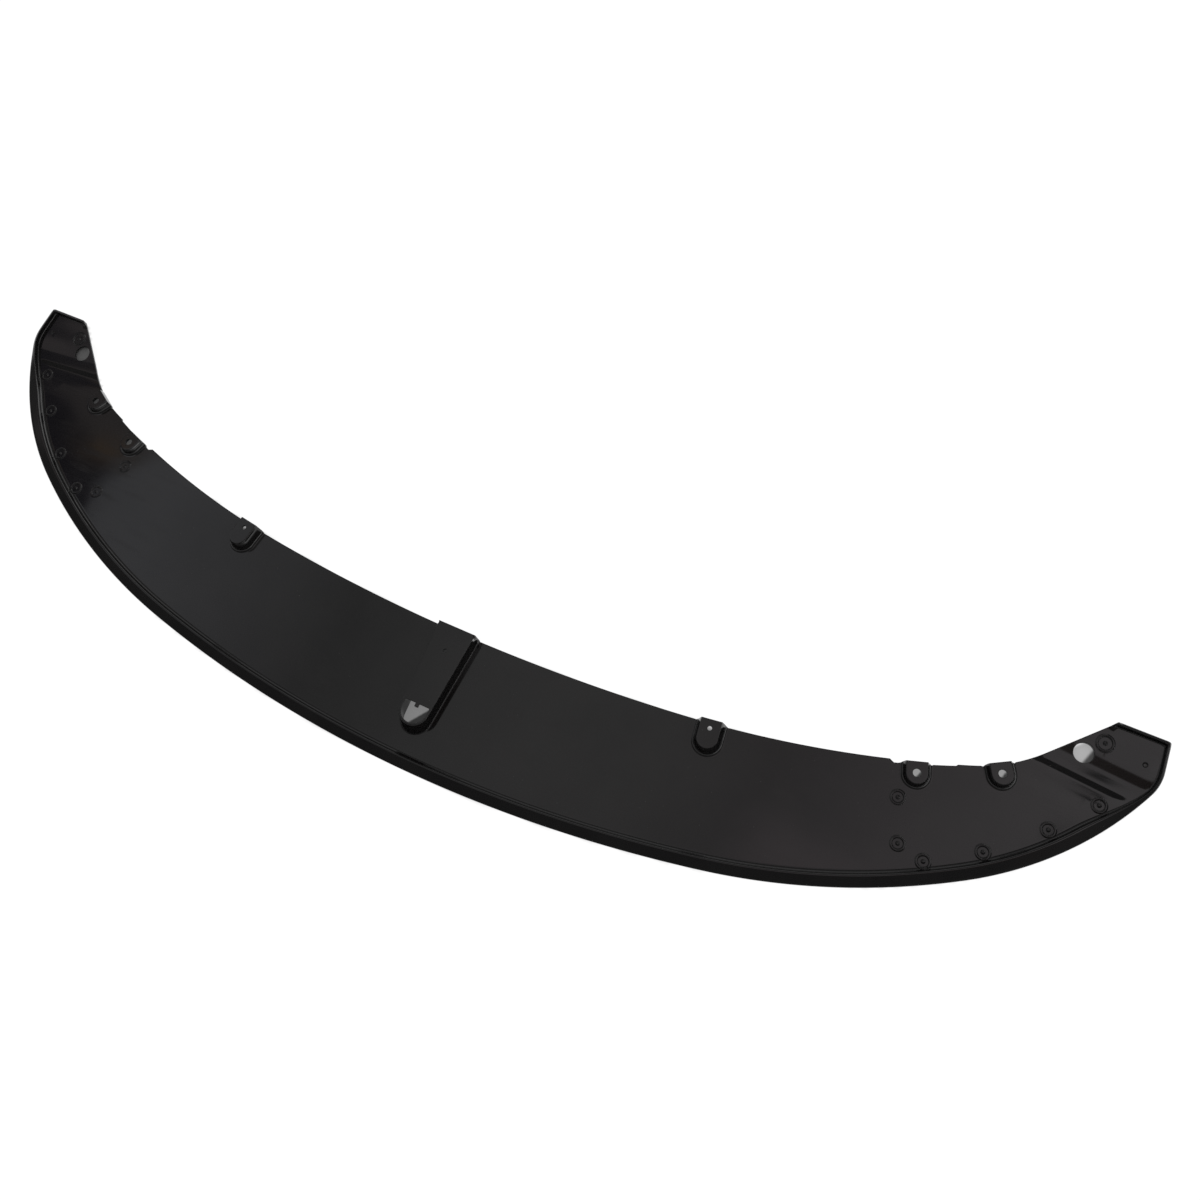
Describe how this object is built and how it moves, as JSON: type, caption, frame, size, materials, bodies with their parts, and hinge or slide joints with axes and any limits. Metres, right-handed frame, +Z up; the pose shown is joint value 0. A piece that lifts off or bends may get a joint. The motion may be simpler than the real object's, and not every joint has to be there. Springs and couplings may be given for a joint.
{
  "type": "front splitter lip",
  "caption": "Thin crescent splitter lip for a car's front bumper, with a raised front rim, turned-up ends, hollow screw pads, a middle bracket and ring bosses.",
  "frame": {"origin": "middle of the outline, on the flat underside of the plate", "axes": "+X across the car to the viewer's right, +Y from the convex front edge back to the tips, +Z up, out of the side that meets the bumper"},
  "size_m": [1.7176, 0.408, 0.0255],
  "materials": {
    "gloss_black": "high-gloss black moulded ABS"
  },
  "bodies": {
    "root": {"splitter_lip": "gloss_black"}
  },
  "joints": []
}
